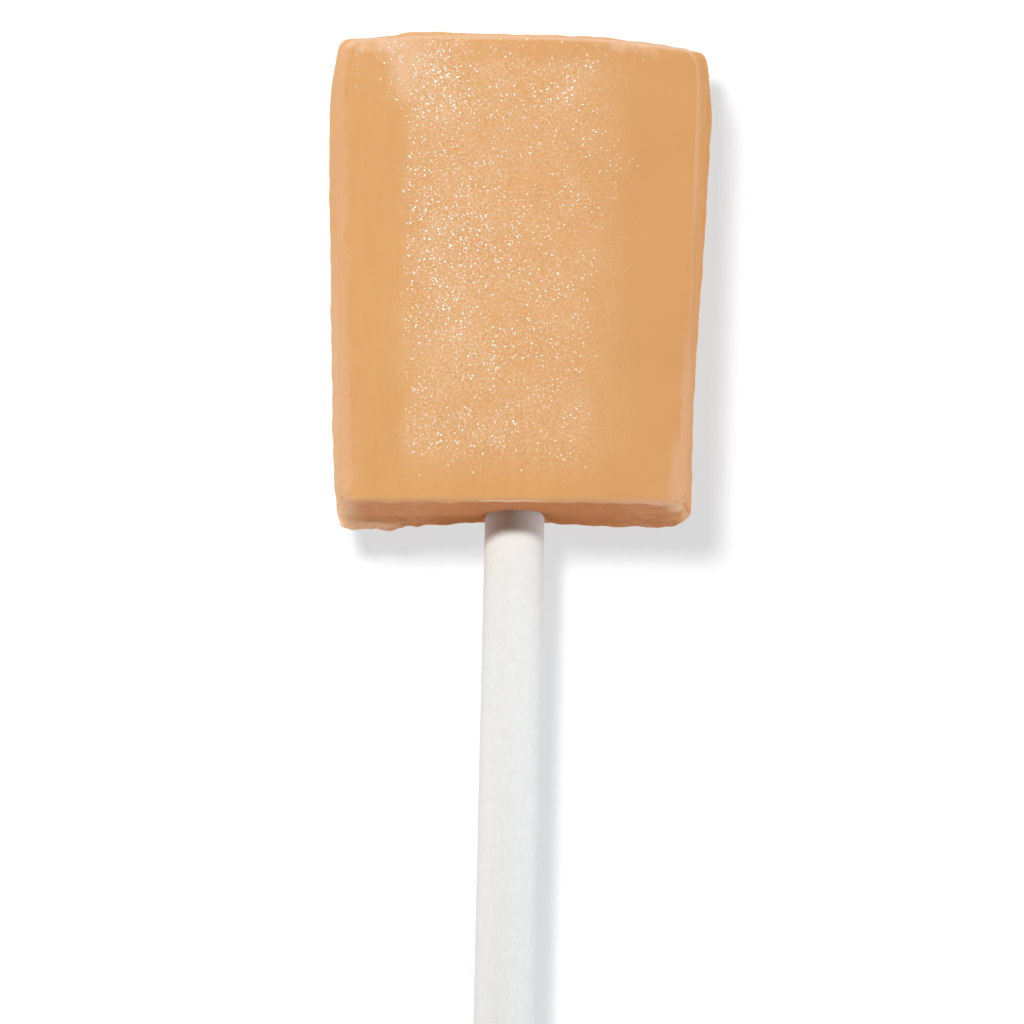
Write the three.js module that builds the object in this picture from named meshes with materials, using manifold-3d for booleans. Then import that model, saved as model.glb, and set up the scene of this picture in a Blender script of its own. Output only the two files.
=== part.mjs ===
// A square butterscotch lollipop: one die-pressed block of hard candy on a rolled-paper stick.
// It lies on its back. x = 0 is the stick's centre line, +Y runs from the stick to the top of the candy,
// and +Z points up out of the front face. The flat back rests at z = 0. Sizes are in millimetres.
import * as THREE from 'three';
import { LoftGeometry } from 'three/addons/geometries/LoftGeometry.js';
import { mergeGeometries, mergeVertices } from 'three/addons/utils/BufferGeometryUtils.js';
import Module from 'manifold-3d';

// Driving dimensions
const THICKNESS = 14;
const FACE_HEIGHT = 37;
const CROWN = 0.12; // rise of the front face's middle over its rim
const STICK_DIAMETER = 4.76;
const STICK_LENGTH = 101.6;
const STICK_TOP = 5; // y of the stick's hidden end, 24 mm inside the candy
const STICK_CHAMFER = 0.25;
const STICK_LEAN = 0.23; // degrees that the stick's free end is turned towards -X
const STICK_MOUTH = -19.3; // y where the stick leaves the candy, and about which it is turned
const BORE_GAP = 0.3;

// The die's two halves meet at mid-thickness, where a rough rib of squeezed-out candy runs round the walls.
const MID = THICKNESS / 2;
const RIB_HALF_HEIGHT = 1;

// Samples round the outline
const SIDE_STEPS = { bottom: 36, right: 20, top: 26, left: 20 };
const CORNER_STEPS = 5;
const BORE_SIDES = 32;
const STICK_SIDES = 40;

// Sections of the block's front half: heights of the wall over mid-thickness, places along the edge's
// rounding, and shares of the way from the face's rim to its middle
const WALL_HEIGHTS = [0, 0.5, 1.1, 2.2, 4.2];
const ROUNDING_PLACES = [0, 0.3, 0.6, 1];
const FACE_RINGS = [0.1, 0.45];

const BUTTERSCOTCH = new THREE.MeshStandardMaterial({ color: 0xe1aa6c, roughness: 0.35, metalness: 0 });
const ROLLED_PAPER = new THREE.MeshStandardMaterial({ color: 0xf1efea, roughness: 0.85, metalness: 0 });

// The face outline at half its height
const FACE_TOP = FACE_HEIGHT / 2;

// Both outlines run anticlockwise, seen from the front, and their sides are smooth curves through a few
// points. A corner is a quadratic curve between two sides, pulled towards its own point.

// The widest outline, at mid-thickness. It is broader at the top, and a lobe hangs down at the stick's left.
const WIDEST = {
  bottom: [
    [-13.35, -20.05], [-11.8, -20.1], [-9, -19.96], [-6, -19.76], [-3, -19.45],
    [0, -19.27], [4.8, -19.56], [7, -19.54], [11.6, -19.64],
  ],
  bottomRight: [13.62, -19.42],
  right: [[13.94, -18.5], [14.06, -9], [14.5, 0], [14.84, 7], [14.97, 10.5], [15.07, 13.7], [14.75, 17.1]],
  topRight: [14.68, 18.5],
  top: [
    [13.9, 18.62], [11.3, 19.1], [8.5, 19.45], [5.5, 19.74], [0, 19.78], [-8.4, 19.84],
    [-10.6, 19.48], [-14, 19.18],
  ],
  topLeft: [-14.7, 19.05],
  left: [
    [-14.8, 18.1], [-15.15, 16], [-15.36, 12], [-15.12, 3], [-14.7, -9.8], [-14.32, -17.6],
    [-13.8, -19.6],
  ],
  bottomLeft: [-13.7, -20.02],
};

// The sharp edge that the front face would have without its rounding. The back face's edge mirrors it.
const FACE_EDGE = {
  bottom: [[-12.8, -FACE_TOP - 0.16], [0, -FACE_TOP - 0.08], [12.4, -FACE_TOP - 0.06]],
  bottomRight: [13.65, -FACE_TOP - 0.16],
  right: [[13.74, -17], [13.78, -9], [14, 12.5], [13.85, 16.4]],
  topRight: [13.65, 17.6],
  top: [[12.6, 17.85], [5, FACE_TOP], [-6, FACE_TOP], [-13, 18.1]],
  topLeft: [-13.9, 18],
  left: [[-14.15, 17.2], [-14.7, 12.5], [-14.2, -8], [-13.85, -17.4]],
  bottomLeft: [-13.75, -FACE_TOP - 0.12],
};

// The walls' shape at the start and end of each side: how far the face edge's rounding reaches in over the
// face, how far it drops down the wall, the share of the wall's lean that the rib makes, and the share of
// the waves.
const WALLS = {
  bottom: [{ reach: 0.4, drop: 0.5, rib: 0.5, waves: 1 }, { reach: 0.5, drop: 0.6, rib: 0.45, waves: 0.8 }],
  right: [{ reach: 1.2, drop: 0.9, rib: 0.3, waves: 0.4 }, { reach: 0.3, drop: 0.6, rib: 0.25, waves: 0.3 }],
  top: [{ reach: 0.6, drop: 0.8, rib: 0.25, waves: 0.4 }, { reach: 0.75, drop: 0.9, rib: 0.25, waves: 0.3 }],
  left: [{ reach: 1, drop: 1.3, rib: 0.3, waves: 0.25 }, { reach: 1.1, drop: 1.2, rib: 0.35, waves: 0.5 }],
};
const INSET_BLUR = 1.4; // distance along the outline over which the rounding's reach turns at a corner

// The unevenness of the walls: waves that run round them and slant up them
const WAVES = [
  { count: 14, size: 0.05, phase: 0.4, slant: 0.5 },
  { count: 31, size: 0.045, phase: 2.1, slant: -0.8 },
  { count: 58, size: 0.05, phase: 5.2, slant: 1.1 },
];
const CALM_WALL = 0.4; // share of the waves left on the walls away from the rib

const SIDES = Object.keys(SIDE_STEPS);
const CORNERS = ['bottomRight', 'topRight', 'topLeft', 'bottomLeft'];

// Evenly spaced points along one side, its far end left for the corner that follows
function sidePoints(points, steps) {
  const curve = new THREE.SplineCurve(points.map(([x, y]) => new THREE.Vector2(x, y)));
  return curve.getSpacedPoints(steps).slice(0, steps);
}

// Points round a corner, from the end of one side to just before the start of the next
function cornerPoints(from, corner, to) {
  const ends = [from, corner, to].map(([x, y]) => new THREE.Vector2(x, y));
  return new THREE.QuadraticBezierCurve(...ends).getPoints(CORNER_STEPS).slice(0, CORNER_STEPS);
}

// A closed outline as a list of points
function outlinePoints(outline) {
  return SIDES.flatMap((side, i) => {
    const next = SIDES[(i + 1) % SIDES.length];
    const corner = cornerPoints(outline[side].at(-1), outline[CORNERS[i]], outline[next][0]);
    return [...sidePoints(outline[side], SIDE_STEPS[side]), ...corner];
  });
}

// The walls' shape at every outline point, blended along the sides and round the corners
function wallShapes() {
  const mix = (a, b, t) =>
    Object.fromEntries(Object.keys(a).map((key) => [key, THREE.MathUtils.lerp(a[key], b[key], t)]));
  const blend = (a, b, steps) => Array.from({ length: steps }, (_, k) => mix(a, b, k / steps));
  return SIDES.flatMap((side, i) => {
    const [start, end] = WALLS[side];
    const next = WALLS[SIDES[(i + 1) % SIDES.length]][0];
    return [...blend(start, end, SIDE_STEPS[side]), ...blend(end, next, CORNER_STEPS)];
  });
}

// Unit vectors that point inwards at every point of a closed outline
function inwardDirections(points) {
  return points.map((_, i) => {
    const before = points[(i + points.length - 1) % points.length];
    const after = points[(i + 1) % points.length];
    return new THREE.Vector2(before.y - after.y, after.x - before.x).normalize();
  });
}

// How far along a closed outline each point lies, and the length of the whole outline
function distancesRound(points) {
  let travelled = 0;
  const distances = points.map((point, i) => {
    travelled += i ? point.distanceTo(points[i - 1]) : 0;
    return travelled;
  });
  return { distances, length: travelled + points.at(-1).distanceTo(points[0]) };
}

// How far round the outline each point lies, as an angle that grows by a full turn
function turnsRound(points) {
  const { distances, length } = distancesRound(points);
  return distances.map((distance) => (2 * Math.PI * distance) / length);
}

// The way in from the sharp edge to the rim of the flat face at every point. It turns slowly at the corners,
// so that neighbouring points never cross.
function insetsRound(points, shapes) {
  const inward = inwardDirections(points);
  const { distances, length } = distancesRound(points);
  const count = points.length;
  const spacing = (k) => {
    const next = points[(k + 1) % count];
    return points[k].distanceTo(next) + points[k].distanceTo(points.at(k - 1));
  };
  return distances.map((here) => {
    const inset = new THREE.Vector2();
    let total = 0;
    distances.forEach((there, k) => {
      const apart = Math.min(Math.abs(here - there), length - Math.abs(here - there));
      const weight = spacing(k) * Math.exp(-((apart / INSET_BLUR) ** 2));
      inset.addScaledVector(inward[k], weight * shapes[k].reach);
      total += weight;
    });
    return inset.divideScalar(total);
  });
}

// How strongly the rib shows at a height above mid-thickness
function ribStrength(height) {
  return Math.exp(-((height / RIB_HALF_HEIGHT) ** 2));
}

// How much of the way from the face's edge to the widest outline a wall has leant out
function lean(height, ribShare) {
  return THREE.MathUtils.lerp(1 - height / MID, ribStrength(height), ribShare);
}

// The unevenness of a wall, strongest on the rib
function unevenness(turn, height) {
  const strength = THREE.MathUtils.lerp(CALM_WALL, 1, ribStrength(height));
  return WAVES.reduce((sum, { count, size, phase, slant }) =>
    sum + strength * size * Math.sin(count * turn + phase + slant * height), 0);
}

// Sections of the block's front half, from mid-thickness up to the rim of the flat face
function frontSections() {
  const widest = outlinePoints(WIDEST);
  const edge = outlinePoints(FACE_EDGE);
  const shapes = wallShapes();
  const inward = inwardDirections(edge);
  const insets = insetsRound(edge, shapes);
  const turns = turnsRound(widest);

  const wallPoint = (i, height) => {
    const flat = edge[i].clone().lerp(widest[i], lean(height, shapes[i].rib));
    flat.addScaledVector(inward[i], -shapes[i].waves * unevenness(turns[i], height));
    return new THREE.Vector3(flat.x, flat.y, MID + height);
  };
  const wallSection = (height) => edge.map((_, i) => wallPoint(i, height));

  // A quadratic curve from the wall, round the edge, to the face
  const roundedSection = (t) => edge.map((point, i) => {
    const start = wallPoint(i, MID - shapes[i].drop);
    const sharp = new THREE.Vector3(point.x, point.y, THICKNESS);
    const end = new THREE.Vector3(point.x + insets[i].x, point.y + insets[i].y, THICKNESS);
    return new THREE.QuadraticBezierCurve3(start, sharp, end).getPoint(t);
  });

  return [...WALL_HEIGHTS.map(wallSection), ...ROUNDING_PLACES.map(roundedSection)];
}

// Rings that close in over the front face, which is slightly crowned
function faceSections(rim) {
  return FACE_RINGS.map((share) => rim.map((point) => {
    const ring = point.clone().lerp(new THREE.Vector3(0, 0, THICKNESS), share);
    ring.z += CROWN * Math.sin((share * Math.PI) / 2);
    return ring;
  }));
}

// A geometry's faces alone, without its normals and texture coordinates
function bareGeometry(geometry) {
  const bare = new THREE.BufferGeometry();
  bare.setAttribute('position', geometry.getAttribute('position'));
  bare.setIndex(geometry.index);
  return bare;
}

// A fan that closes a section at its middle, facing up or down
function fanGeometry(section, height, facesUp) {
  const middle = section.reduce((sum, point) => sum.add(point), new THREE.Vector3());
  middle.divideScalar(section.length).setZ(height);
  const corners = section.map((_, i) => {
    const next = (i + 1) % section.length;
    return facesUp ? [i, next, section.length] : [next, i, section.length];
  });
  const fan = new THREE.BufferGeometry().setFromPoints([...section, middle]);
  fan.setIndex(corners.flat());
  return fan;
}

// The solid block, without the hole for its stick
function blockGeometry() {
  const front = frontSections();
  const mirrored = front.slice(1).reverse().map((section) =>
    section.map(({ x, y, z }) => new THREE.Vector3(x, y, THICKNESS - z)));
  const sections = [...mirrored, ...front, ...faceSections(front.at(-1))];
  return mergeGeometries([
    bareGeometry(new LoftGeometry(sections)),
    fanGeometry(sections[0], 0, false),
    fanGeometry(sections.at(-1), THICKNESS + CROWN, true),
  ]);
}

// A manifold-3d solid of a closed geometry
function solidOf(wasm, geometry) {
  const merged = mergeVertices(bareGeometry(geometry));
  return new wasm.Manifold(new wasm.Mesh({
    numProp: 3,
    vertProperties: merged.getAttribute('position').array,
    triVerts: new Uint32Array(merged.index.array),
  }));
}

// A flat-shaded three.js geometry of a manifold-3d solid
function geometryOf(solid) {
  const { numProp, vertProperties, triVerts } = solid.getMesh();
  const geometry = new THREE.BufferGeometry();
  geometry.setAttribute('position', new THREE.BufferAttribute(vertProperties, numProp));
  geometry.setIndex(new THREE.BufferAttribute(triVerts, 1));
  geometry.computeVertexNormals();
  return geometry;
}

// Turns a geometry that runs along Y to the stick's lean
function leanWithStick(geometry) {
  geometry.translate(0, -STICK_MOUTH, 0);
  geometry.rotateZ(-THREE.MathUtils.degToRad(STICK_LEAN));
  geometry.translate(0, STICK_MOUTH, 0);
}

// The candy: the block with a blind hole up the middle for the stick
async function candy() {
  const wasm = await Module();
  wasm.setup();
  const boreTop = STICK_TOP + BORE_GAP;
  const boreLength = FACE_HEIGHT;
  const boreRadius = STICK_DIAMETER / 2 + BORE_GAP;
  const bore = new THREE.CylinderGeometry(boreRadius, boreRadius, boreLength, BORE_SIDES);
  bore.translate(0, boreTop - boreLength / 2, MID);
  leanWithStick(bore);
  const drilled = solidOf(wasm, blockGeometry()).subtract(solidOf(wasm, bore));
  const mesh = new THREE.Mesh(geometryOf(drilled), BUTTERSCOTCH);
  mesh.name = 'candy';
  return mesh;
}

// The stick: a round bar of rolled paper with slightly broken end edges
function stick() {
  const radius = STICK_DIAMETER / 2;
  const profile = [
    [0, -STICK_LENGTH],
    [radius - STICK_CHAMFER, -STICK_LENGTH],
    [radius, -STICK_LENGTH + STICK_CHAMFER],
    [radius, -STICK_CHAMFER],
    [radius - STICK_CHAMFER, 0],
    [0, 0],
  ];
  const geometry = new THREE.LatheGeometry(profile.map(([r, y]) => new THREE.Vector2(r, y)), STICK_SIDES);
  geometry.translate(0, STICK_TOP, MID);
  leanWithStick(geometry);
  const mesh = new THREE.Mesh(geometry, ROLLED_PAPER);
  mesh.name = 'stick';
  return mesh;
}

const lollipop = new THREE.Group();
lollipop.add(await candy(), stick());

export default lollipop;
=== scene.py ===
"""A square butterscotch lollipop on a rolled-paper stick, lying on its back under soft studio light.

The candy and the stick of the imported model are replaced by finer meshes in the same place. Sizes in this
script are in millimetres until a mesh is made, with x = 0 on the stick's centre line where it enters the
candy, +Y towards the top of the candy, and +Z up out of its front face.
"""

import math

import bpy
import numpy as np
from mathutils import Matrix, Vector, noise
from mathutils.bvhtree import BVHTree


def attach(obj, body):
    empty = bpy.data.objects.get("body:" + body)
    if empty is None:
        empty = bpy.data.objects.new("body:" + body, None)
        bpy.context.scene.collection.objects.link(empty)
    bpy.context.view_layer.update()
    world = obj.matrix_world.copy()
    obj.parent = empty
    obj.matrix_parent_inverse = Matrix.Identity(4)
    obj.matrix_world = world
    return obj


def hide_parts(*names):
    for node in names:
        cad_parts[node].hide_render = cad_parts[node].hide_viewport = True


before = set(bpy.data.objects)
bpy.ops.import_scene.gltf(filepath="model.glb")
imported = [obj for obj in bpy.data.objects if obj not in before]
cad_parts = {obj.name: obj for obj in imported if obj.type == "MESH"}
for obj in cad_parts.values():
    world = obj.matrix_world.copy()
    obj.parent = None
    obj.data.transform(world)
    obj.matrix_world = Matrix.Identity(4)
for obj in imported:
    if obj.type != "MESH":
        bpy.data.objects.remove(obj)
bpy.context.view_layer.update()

MM = 0.001

# Driving sizes, the same as the solids have
THICKNESS = 14.0
MID = THICKNESS / 2
FACE_HEIGHT = 37.0
FACE_TOP = FACE_HEIGHT / 2
CROWN = 0.12  # rise of the front face's middle over its rim
RIB_HALF_HEIGHT = 1.0
STICK_RADIUS = 4.76 / 2
STICK_LENGTH = 101.6
STICK_TOP = 5.0
STICK_MOUTH = -19.3  # y where the stick leaves the candy, and about which it leans
STICK_LEAN = math.radians(0.23)
STICK_CHAMFER = 0.25

# Samples of the candy's mesh, with the rings closer together near the rib and near a face's rim
SPLINE_SAMPLES = 1200
SIDE_STEPS = {"bottom": 190, "right": 96, "top": 120, "left": 96}
CORNER_STEPS = 12
WALL_RINGS = 36
WALL_CROWDING = 1.4
ROUND_RINGS = 9
FRONT_RINGS = 40
BACK_RINGS = 14
FACE_CROWDING = 0.9
INSET_BLUR = 1.4  # distance along the outline over which the edge rounding's direction is blended

# The widest outline, at mid-thickness, and the sharp edge that the front face would have if not rounded.
# Both have the solids' points, but for the face's lower edge, which lies a little lower at its left.
WIDEST = {
    "bottom": [
        (-13.35, -20.05), (-11.8, -20.1), (-9, -19.96), (-6, -19.76), (-3, -19.45),
        (0, -19.27), (4.8, -19.56), (7, -19.54), (11.6, -19.64),
    ],
    "bottomRight": (13.62, -19.42),
    "right": [
        (13.94, -18.5), (14.06, -9), (14.5, 0), (14.84, 7), (14.97, 10.5), (15.07, 13.7), (14.75, 17.1),
    ],
    "topRight": (14.68, 18.5),
    "top": [
        (13.9, 18.62), (11.3, 19.1), (8.5, 19.45), (5.5, 19.74), (0, 19.78), (-8.4, 19.84),
        (-10.6, 19.48), (-14, 19.18),
    ],
    "topLeft": (-14.7, 19.05),
    "left": [
        (-14.8, 18.1), (-15.15, 16), (-15.36, 12), (-15.12, 3), (-14.7, -9.8), (-14.32, -17.6),
        (-13.8, -19.6),
    ],
    "bottomLeft": (-13.7, -20.02),
}
FACE_EDGE = {
    "bottom": [
        (-12.8, -FACE_TOP - 0.34), (-9, -FACE_TOP - 0.29), (-5, -FACE_TOP - 0.2), (-3, -FACE_TOP - 0.17),
        (0, -FACE_TOP - 0.11), (6, -FACE_TOP - 0.04), (12.4, -FACE_TOP - 0.06),
    ],
    "bottomRight": (13.65, -FACE_TOP - 0.16),
    "right": [(13.74, -17), (13.78, -9), (14, 12.5), (13.85, 16.4)],
    "topRight": (13.65, 17.6),
    "top": [(12.6, 17.85), (5, FACE_TOP), (-6, FACE_TOP), (-13, 18.1)],
    "topLeft": (-13.9, 18),
    "left": [(-14.15, 17.2), (-14.7, 12.5), (-14.2, -8), (-13.85, -17.4)],
    "bottomLeft": (-13.75, -FACE_TOP - 0.3),
}

# The walls' shape at the start and end of each side: how far the face edge's rounding reaches in over the
# face, how far it drops down the wall, the share of the wall's lean that the rib makes, and how strong the
# waves are
WALLS = {
    "bottom": [
        {"reach": 0.4, "drop": 0.5, "rib": 0.5, "waves": 1.0},
        {"reach": 0.5, "drop": 0.6, "rib": 0.45, "waves": 0.8},
    ],
    "right": [
        {"reach": 1.2, "drop": 0.9, "rib": 0.3, "waves": 0.4},
        {"reach": 0.3, "drop": 0.6, "rib": 0.25, "waves": 0.3},
    ],
    "top": [
        {"reach": 0.6, "drop": 0.8, "rib": 0.25, "waves": 0.4},
        {"reach": 0.75, "drop": 0.9, "rib": 0.25, "waves": 0.3},
    ],
    "left": [
        {"reach": 1.0, "drop": 1.3, "rib": 0.3, "waves": 0.25},
        {"reach": 1.1, "drop": 1.2, "rib": 0.35, "waves": 0.5},
    ],
}

# The unevenness of the walls: waves that run round them and slant up them
WAVES = [
    {"count": 14, "size": 0.05, "phase": 0.4, "slant": 0.5},
    {"count": 31, "size": 0.045, "phase": 2.1, "slant": -0.8},
    {"count": 58, "size": 0.05, "phase": 5.2, "slant": 1.1},
]
CALM_WALL = 0.4  # the waves' strength away from the rib

# The camera: its height over the horizon, its roll, and its distance. One point of the candy is held at one
# pixel of the picture.
ELEVATION = math.radians(83)
ROLL = math.radians(1.066)
DISTANCE = 900.0
PIXELS_PER_MM = 12.6
PICTURE = 1024
HELD_POINT = Vector((0, -18.82, 7.0))
HELD_PIXEL = (515.0, 515.0)
SENSOR = 36.0

SIDES = list(SIDE_STEPS)
CORNERS = ["bottomRight", "topRight", "topLeft", "bottomLeft"]


# Outlines

def spline_points(points, steps):
    """Evenly spaced points along a smooth curve through the given points, its far end left out."""
    points = np.array(points, float)
    last = len(points) - 1
    t = np.linspace(0, last, SPLINE_SAMPLES)
    i = np.minimum(t.astype(int), last - 1)
    w = (t - i)[:, None]
    p0 = points[np.maximum(i - 1, 0)]
    p1 = points[i]
    p2 = points[i + 1]
    p3 = points[np.minimum(i + 2, last)]
    v0 = (p2 - p0) / 2
    v1 = (p3 - p1) / 2
    curve = (2 * p1 - 2 * p2 + v0 + v1) * w**3 + (-3 * p1 + 3 * p2 - 2 * v0 - v1) * w**2 + v0 * w + p1
    lengths = np.concatenate([[0], np.cumsum(np.linalg.norm(np.diff(curve, axis=0), axis=1))])
    wanted = np.linspace(0, lengths[-1], steps + 1)[:-1]
    return np.stack([np.interp(wanted, lengths, curve[:, k]) for k in range(2)], 1)


def corner_points(start, corner, end):
    """Points round a corner, from the end of one side to just before the start of the next."""
    t = np.linspace(0, 1, CORNER_STEPS + 1)[:-1, None]
    return (1 - t)**2 * np.array(start) + 2 * t * (1 - t) * np.array(corner) + t**2 * np.array(end)


def outline_points(outline):
    """A closed outline, anticlockwise from the front, as an array of points."""
    parts = []
    for i, side in enumerate(SIDES):
        following = outline[SIDES[(i + 1) % 4]]
        parts.append(spline_points(outline[side], SIDE_STEPS[side]))
        parts.append(corner_points(outline[side][-1], outline[CORNERS[i]], following[0]))
    return np.concatenate(parts)


def wall_values(key):
    """One of the walls' numbers at every outline point, blended along the sides and round the corners."""
    parts = []
    for i, side in enumerate(SIDES):
        start, end = (shape[key] for shape in WALLS[side])
        following = WALLS[SIDES[(i + 1) % 4]][0][key]
        parts.append(np.linspace(start, end, SIDE_STEPS[side] + 1)[:-1])
        parts.append(np.linspace(end, following, CORNER_STEPS + 1)[:-1])
    return np.concatenate(parts)


def inward_directions(points):
    """Unit vectors that point inwards at every point of a closed outline."""
    along = np.roll(points, -1, 0) - np.roll(points, 1, 0)
    inward = np.stack([-along[:, 1], along[:, 0]], 1)
    return inward / np.linalg.norm(inward, axis=1)[:, None]


def rounded_insets(points, inward, reach):
    """Steps in from a closed outline that turn slowly at its corners, so that they never cross."""
    gaps = np.linalg.norm(np.roll(points, -1, 0) - points, axis=1)
    place = np.concatenate([[0], np.cumsum(gaps)[:-1]])
    apart = np.abs(place[:, None] - place[None, :])
    apart = np.minimum(apart, gaps.sum() - apart)
    weights = np.exp(-(apart / INSET_BLUR)**2) * ((gaps + np.roll(gaps, 1)) / 2)[None, :]
    return weights @ (inward * reach[:, None]) / weights.sum(1)[:, None]


def turns_round(points):
    """How far round the outline each point lies, as an angle that grows by a full turn."""
    steps = np.linalg.norm(np.roll(points, -1, 0) - points, axis=1)
    return 2 * np.pi * np.concatenate([[0], np.cumsum(steps)[:-1]]) / steps.sum()


# The candy

def smooth_step(low, high, value):
    """0 below low, 1 above high, and a smooth rise between them."""
    t = np.clip((value - low) / (high - low), 0, 1)
    return t * t * (3 - 2 * t)


def rib_strength(height):
    """How strongly the rib shows at a height above mid-thickness."""
    return np.exp(-(height / RIB_HALF_HEIGHT)**2)


def unevenness(turn, height):
    """The waves of a wall, strongest on the rib."""
    strength = CALM_WALL + (1 - CALM_WALL) * rib_strength(height)
    waves = sum(w["size"] * np.sin(w["count"] * turn + w["phase"] + w["slant"] * height) for w in WAVES)
    return strength * waves


def half_sections(sign):
    """Rings of the wall and of the edge's rounding, from mid-thickness to the face in front or behind."""
    widest = outline_points(WIDEST)
    edge = outline_points(FACE_EDGE)
    inward = inward_directions(edge)
    turn = turns_round(widest)
    reach, drop, rib, waves = (wall_values(key) for key in ("reach", "drop", "rib", "waves"))

    def wall(height):
        lean = (1 - rib) * (1 - height / MID) + rib * rib_strength(height)
        flat = edge + (widest - edge) * lean[:, None]
        flat = flat - inward * (waves * unevenness(turn, sign * height))[:, None]
        return np.concatenate([flat, (MID + sign * height)[:, None]], 1)

    rings = []
    for k in range(WALL_RINGS):
        share = (k / WALL_RINGS)**WALL_CROWDING
        rings.append(wall(share * (MID - drop)))
    start = wall(MID - drop)
    sharp = np.concatenate([edge, np.full((len(edge), 1), MID + sign * MID)], 1)
    end = sharp.copy()
    end[:, :2] += rounded_insets(edge, inward, reach)
    for t in np.linspace(0, 1, ROUND_RINGS):
        rings.append((1 - t)**2 * start + 2 * t * (1 - t) * sharp + t**2 * end)
    return rings


def face_sections(rim, count, crown):
    """Rings that close in over a face, with a crown in front."""
    middle = np.array([0, 0, rim[:, 2].mean()])
    rings = []
    for k in range(1, count):
        share = (k / count)**FACE_CROWDING
        ring = rim + (middle - rim) * share
        ring[:, 2] += crown * math.sin(share * math.pi / 2)
        rings.append(ring)
    return rings


def candy_rings():
    """All rings of the candy, from the middle of its back round to the middle of its front."""
    front = half_sections(1)
    back = half_sections(-1)
    back_face = face_sections(back[-1], BACK_RINGS, 0)
    front_face = face_sections(front[-1], FRONT_RINGS, CROWN)
    return back_face[::-1] + back[:0:-1] + front + front_face


def closed_tube(rings):
    """Points and faces of a skin through closed rings, with a fan at each end."""
    count = len(rings[0])
    points = np.concatenate(rings + [rings[0].mean(0)[None], rings[-1].mean(0)[None]])
    faces = []
    for r in range(len(rings) - 1):
        for i in range(count):
            j = (i + 1) % count
            faces.append((r * count + i, r * count + j, (r + 1) * count + j, (r + 1) * count + i))
    first = len(rings) * count
    last_ring = first - count
    for i in range(count):
        j = (i + 1) % count
        faces.append((j, i, first))
        faces.append((last_ring + i, last_ring + j, first + 1))
    return points, faces


def mesh_object(name, points, faces, material):
    """A smooth-shaded mesh object, its points given in millimetres."""
    mesh = bpy.data.meshes.new(name)
    mesh.from_pydata((np.asarray(points) * MM).tolist(), [], faces)
    mesh.validate()
    mesh.polygons.foreach_set("use_smooth", [True] * len(mesh.polygons))
    mesh.materials.append(material)
    mesh.update()
    piece = bpy.data.objects.new(name, mesh)
    bpy.context.scene.collection.objects.link(piece)
    return piece


def mesh_normals(piece):
    """The normals of an object's points, as an array."""
    mesh = piece.data
    values = np.zeros(len(mesh.vertices) * 3, np.float32)
    mesh.vertex_normals.foreach_get("vector", values)
    return values.reshape(-1, 3).astype(float)


def move_out(piece, points, normals, distance):
    """Moves the points of an object out along their normals."""
    moved = points + normals * distance[:, None]
    piece.data.vertices.foreach_set("co", (moved * MM).ravel())
    piece.data.update()


# Relief of the candy

# Layers of smooth noise, each as its depth, the length of its features along x, y and z, and an offset
FACE_SWELL = [
    (0.02, (7, 9, 7), 3.1),
    (0.004, (2.4, 3.4, 2.4), 8.2),
]
WALL_FLOW = [
    (0.012, (5, 5, 0.35), 5.7),
    (0.006, (1.4, 1.4, 0.8), 1.9),
]
# Lumps of the walls, deeper on the bottom wall
LUMP_SIZE = (1.9, 1.9, 1.3)
LUMP_DEPTH = 0.008
BOTTOM_LUMP_DEPTH = 0.03
# The torn edge that runs round the rib
CRAG_HALF_HEIGHT = 1.15
CRAG_DEPTH = 0.12
CRAG_SIZE = (1.3, 1.3, 0.7)
CRUMB_DEPTH = 0.09
CRUMB_SIZE = (0.4, 0.4, 0.3)
# Soft raised lines across the bottom wall, each as its start and end (x, height over the rib), width and rise
FOLDS = [
    ((6.2, 0.6), (8.7, 5.6), 0.3, 0.09),
    ((-1.6, 3.2), (-7.6, 4.6), 0.35, 0.04),
    ((10.2, 1.4), (12.9, 3.4), 0.3, 0.08),
]
# The hollow in the bottom wall round the stick
RECESS_DEPTH = 0.2
RECESS_WIDTH = 0.42
# A round dimple low in the front face, and a shallow step below its top edge
DIMPLE_PLACE = (-3.9, -10.8)
DIMPLE_RADIUS = 0.9
DIMPLE_DEPTH = 0.05
STEP_Y = 17.75
STEP_WIDTH = 0.16
STEP_DEPTH = 0.035


def noise_at(points, size, offset):
    """Smooth noise between about -1 and 1 at each point, with features of a size along x, y and z."""
    scaled = np.asarray(points) / np.array(size) + offset
    return np.array([noise.noise(Vector(p)) for p in scaled.tolist()])


def layered_noise(points, layers):
    """The sum of several layers of noise."""
    return sum(depth * noise_at(points, size, offset) for depth, size, offset in layers)


def ridges_at(points, size, offset):
    """Noise with sharp ridges, at most 1."""
    return 1 - np.abs(noise_at(points, size, offset)) * 2


def stick_distance(points):
    """Each point's distance from the stick's centre line."""
    centre = (points[:, 1] - STICK_MOUTH) * math.tan(STICK_LEAN)
    return np.hypot(points[:, 0] - centre, points[:, 2] - MID)


def crag_strength(points):
    """How rough the rib is at each point: most at the bottom's left, where candy was squeezed out."""
    x, y = points[:, 0], points[:, 1]
    bottom = smooth_step(-18.4, -19.2, y)
    left_lobe = bottom * smooth_step(-5.2, -7.5, x)
    right_end = bottom * smooth_step(7, 10, x)
    return 0.22 + 0.9 * left_lobe + 0.35 * right_end


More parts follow.
